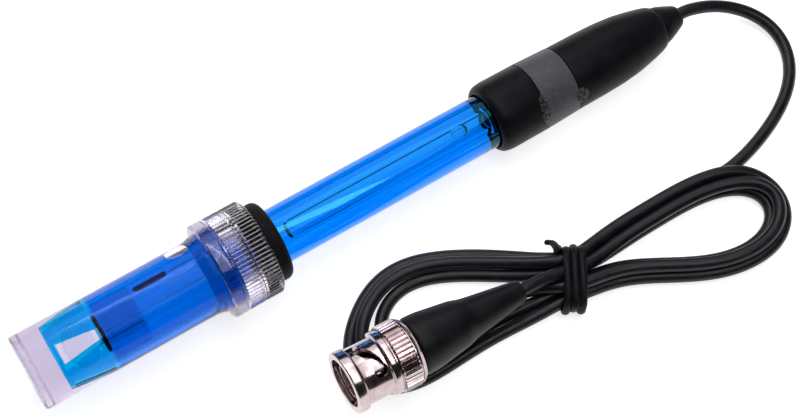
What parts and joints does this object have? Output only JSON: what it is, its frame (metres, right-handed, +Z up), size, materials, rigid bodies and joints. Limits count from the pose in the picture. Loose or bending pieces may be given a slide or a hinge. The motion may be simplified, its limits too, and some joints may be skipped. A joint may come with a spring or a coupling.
{
  "type": "laboratory ph electrode",
  "caption": "Combination pH electrode with blue 12 mm body, clear storage bottle on a screw cap, black head and coaxial lead to a BNC plug.",
  "frame": {"origin": "on the table under the middle of the electrode, halfway between the bottle's base and the nose of the head", "axes": "+X along the electrode towards the head, seen from above; +Z up"},
  "size_m": [0.1795, 0.0672, 0.0212],
  "materials": {
    "blue_tube": "clear blue",
    "clear_plastic": "clear",
    "glass": "clear",
    "liquid": "clear liquid",
    "black_plastic": "satin",
    "grey_band": "matte",
    "rubber": "matte",
    "lead_jacket": "satin",
    "tie_jacket": "satin",
    "boot": "satin",
    "tip_plug": "matte",
    "ceramic": "matte porous",
    "epoxy": "gloss",
    "silver": "drawn wire",
    "nickel": "nickel plate",
    "spring_steel": "plain",
    "gold": "gold plate",
    "insulator": "matte",
    "seal": "matte"
  },
  "bodies": {
    "electrode": {"body_tube": "blue_tube", "glass_stem": "glass", "inner_buffer": "liquid", "inner_wire": "silver", "reference_gel": "liquid", "reference_wire": "silver", "reference_junction": "ceramic", "bulb_seal": "rubber", "tip_plug": "tip_plug", "top_stopper": "rubber", "head_potting": "epoxy", "head_collar": "black_plastic", "label_band": "grey_band", "head_cone": "black_plastic", "strain_relief": "black_plastic", "lead_inner": "lead_jacket", "lead_run": "lead_jacket", "lead_hank": "lead_jacket", "lead_tail": "lead_jacket", "hank_tie": "tie_jacket", "bnc_boot": "boot", "bnc_crimp_ferrule": "nickel", "bnc_contact_body": "nickel", "bnc_insulator": "insulator", "bnc_centre_pin": "gold", "bnc_gasket": "seal"},
    "cap": {"bottle_cap": "clear_plastic", "rubber_gland": "rubber"},
    "liquid": {"storage_solution": "liquid"},
    "bottle": {"storage_bottle": "clear_plastic"},
    "spring_washer": {"bnc_wave_washer": "spring_steel"},
    "nut": {"bnc_coupling_nut": "nickel"}
  },
  "joints": [
    {"name": "cap_pull", "type": "slide", "parent": "electrode", "child": "cap", "axis": [-0.9995, 0, 0.0329], "range_m": [0, 0.058]},
    {"name": "bottle_advance", "type": "slide", "parent": "cap", "child": "liquid", "axis": [-0.9995, 0, 0.0329], "range_m": [0, 0.0057]},
    {"name": "bottle_turn", "type": "hinge", "parent": "liquid", "child": "bottle", "pos_m": [-0.07365, 0, 0.01175], "axis": [-0.9995, 0, 0.0329], "range_deg": [0, 540]},
    {"name": "nut_press", "type": "slide", "parent": "electrode", "child": "spring_washer", "axis": [-0.9964, 0.0313, 0.0785], "range_m": [0, 0.0008], "stiffness_N_per_m": 6000},
    {"name": "nut_turn", "type": "hinge", "parent": "spring_washer", "child": "nut", "pos_m": [-0.0281, -0.0349, 0.01129], "axis": [-0.9964, 0.0313, 0.0785], "continuous": true}
  ],
  "couplings": [
    {"joint": "bottle_turn", "follows": "bottle_advance", "rad_per_m": 1653.5}
  ]
}
